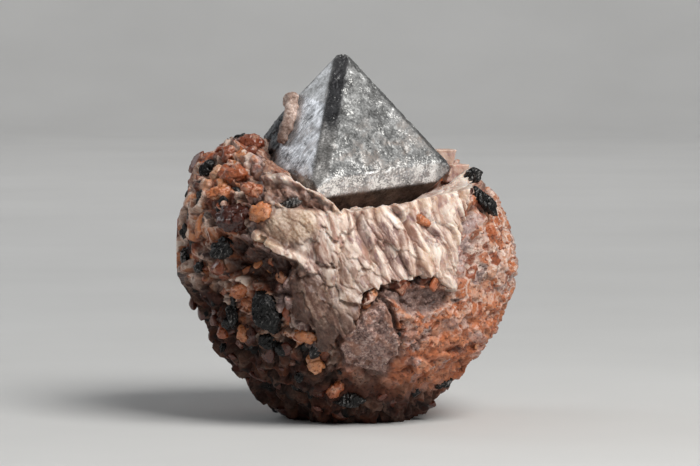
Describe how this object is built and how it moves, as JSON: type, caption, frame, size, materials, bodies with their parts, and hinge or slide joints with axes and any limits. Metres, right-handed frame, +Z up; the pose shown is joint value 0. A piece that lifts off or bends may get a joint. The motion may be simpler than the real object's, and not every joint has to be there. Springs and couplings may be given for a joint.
{
  "type": "franklinite crystal in matrix",
  "caption": "Large bevelled octahedral crystal standing in white calcite on a rounded lump of red-brown ore, with dark and orange grains set in its surface.",
  "frame": {"origin": "centre of the overall footprint, on the flat underside that the specimen rests on", "axes": "+Z up, towards the crystal's apex; the face with the crystal's front edge and the white calcite looks along -Y; +X is to the right as seen from that side"},
  "size_m": [0.0748, 0.0684, 0.0803],
  "materials": {
    "franklinite": "dull metallic grey with bright flecks and pits",
    "black_franklinite": "black, metallic to glassy lustre",
    "willemite": "translucent orange to red-brown mineral, vitreous to resinous",
    "calcite": "white to pinkish-cream cleaved mineral, pearly",
    "calcite_crust": "brownish-pink mineral crust",
    "ore": "granular red-brown rock, rough"
  },
  "bodies": {
    "root": {"calcite_bed": "calcite", "calcite_crust": "calcite_crust", "calcite_plate_lower": "calcite", "calcite_plate_upper": "calcite", "franklinite_crystal": "franklinite", "franklinite_grain_back_high": "black_franklinite", "franklinite_grain_back_left": "black_franklinite", "franklinite_grain_back_low": "black_franklinite", "franklinite_grain_by_ridge": "black_franklinite", "franklinite_grain_foot": "black_franklinite", "franklinite_grain_left_bright": "black_franklinite", "franklinite_grain_left_foot": "black_franklinite", "franklinite_grain_left_high": "black_franklinite", "franklinite_grain_left_low": "black_franklinite", "franklinite_grain_left_small": "black_franklinite", "franklinite_grain_long_right": "black_franklinite", "franklinite_grain_low_front": "black_franklinite", "franklinite_grain_oval": "black_franklinite", "franklinite_grain_ragged": "black_franklinite", "franklinite_grain_right_back": "black_franklinite", "franklinite_grain_right_foot": "black_franklinite", "franklinite_grain_shoulder": "black_franklinite", "franklinite_grain_striated": "black_franklinite", "franklinite_grain_under_striated": "black_franklinite", "franklinite_grain_upper_right": "black_franklinite", "ore_matrix": "ore", "willemite_crystal_amber": "willemite", "willemite_crystal_amber_small": "willemite", "willemite_crystal_back_left": "willemite", "willemite_crystal_back_middle": "willemite", "willemite_crystal_back_right": "willemite", "willemite_crystal_big_red": "willemite", "willemite_crystal_bright_end": "willemite", "willemite_crystal_foot": "willemite", "willemite_crystal_in_calcite": "willemite", "willemite_crystal_left_back": "willemite", "willemite_crystal_left_edge": "willemite", "willemite_crystal_left_low": "willemite", "willemite_crystal_left_mid": "willemite", "willemite_crystal_long_amber": "willemite", "willemite_crystal_orange": "willemite", "willemite_crystal_pale": "willemite", "willemite_crystal_peak": "willemite", "willemite_crystal_ridge": "willemite", "willemite_crystal_right": "willemite", "willemite_crystal_second": "willemite", "willemite_crystal_third": "willemite"}
  },
  "joints": []
}
